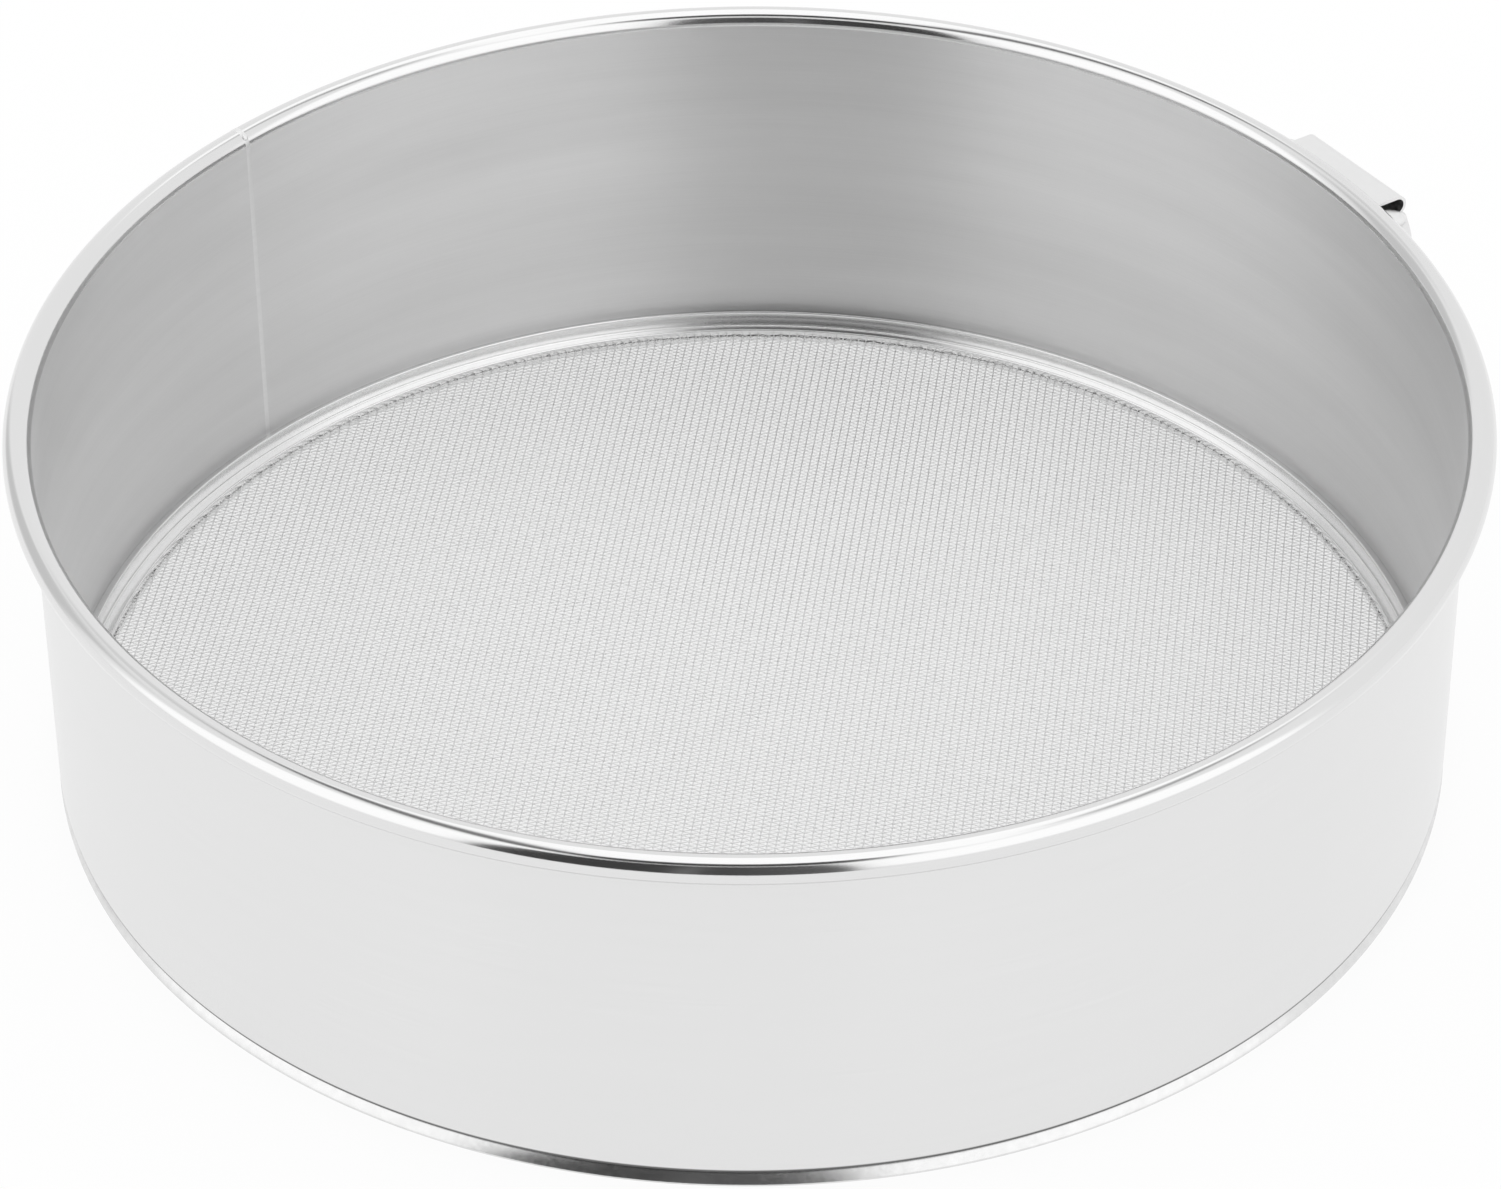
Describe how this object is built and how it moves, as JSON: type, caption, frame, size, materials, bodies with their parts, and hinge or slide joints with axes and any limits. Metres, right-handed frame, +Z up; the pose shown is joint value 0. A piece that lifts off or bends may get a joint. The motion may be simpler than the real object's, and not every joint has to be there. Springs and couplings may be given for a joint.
{
  "type": "tamis drum sieve",
  "caption": "Round stainless steel drum sieve with a straight wall, a curled rim, a fine woven wire cloth clamped at its foot and a folded sheet lug outside the rim.",
  "frame": {"origin": "middle of the foot, in the plane that the sieve stands on", "axes": "+Z up along the drum's axis; -Y towards the picture's viewer, +X to the viewer's right; the lug lies 33.2 degrees from +X towards +Y, the wall's seam 138.2 degrees"},
  "size_m": [0.2, 0.2, 0.0558],
  "materials": {
    "sheet_steel": "satin inside and out, grained round the drum, polished over the rim bead",
    "ring_steel": "polished",
    "wire_steel": "bright drawn wire",
    "weld_steel": "dressed weld"
  },
  "bodies": {
    "root": {"wall_band": "sheet_steel", "wall_seam_weld": "weld_steel", "foot_ring": "ring_steel", "wire_cloth": "wire_steel", "clamp_ring": "ring_steel", "hanging_lug": "sheet_steel", "lug_spot_welds": "weld_steel"}
  },
  "joints": []
}
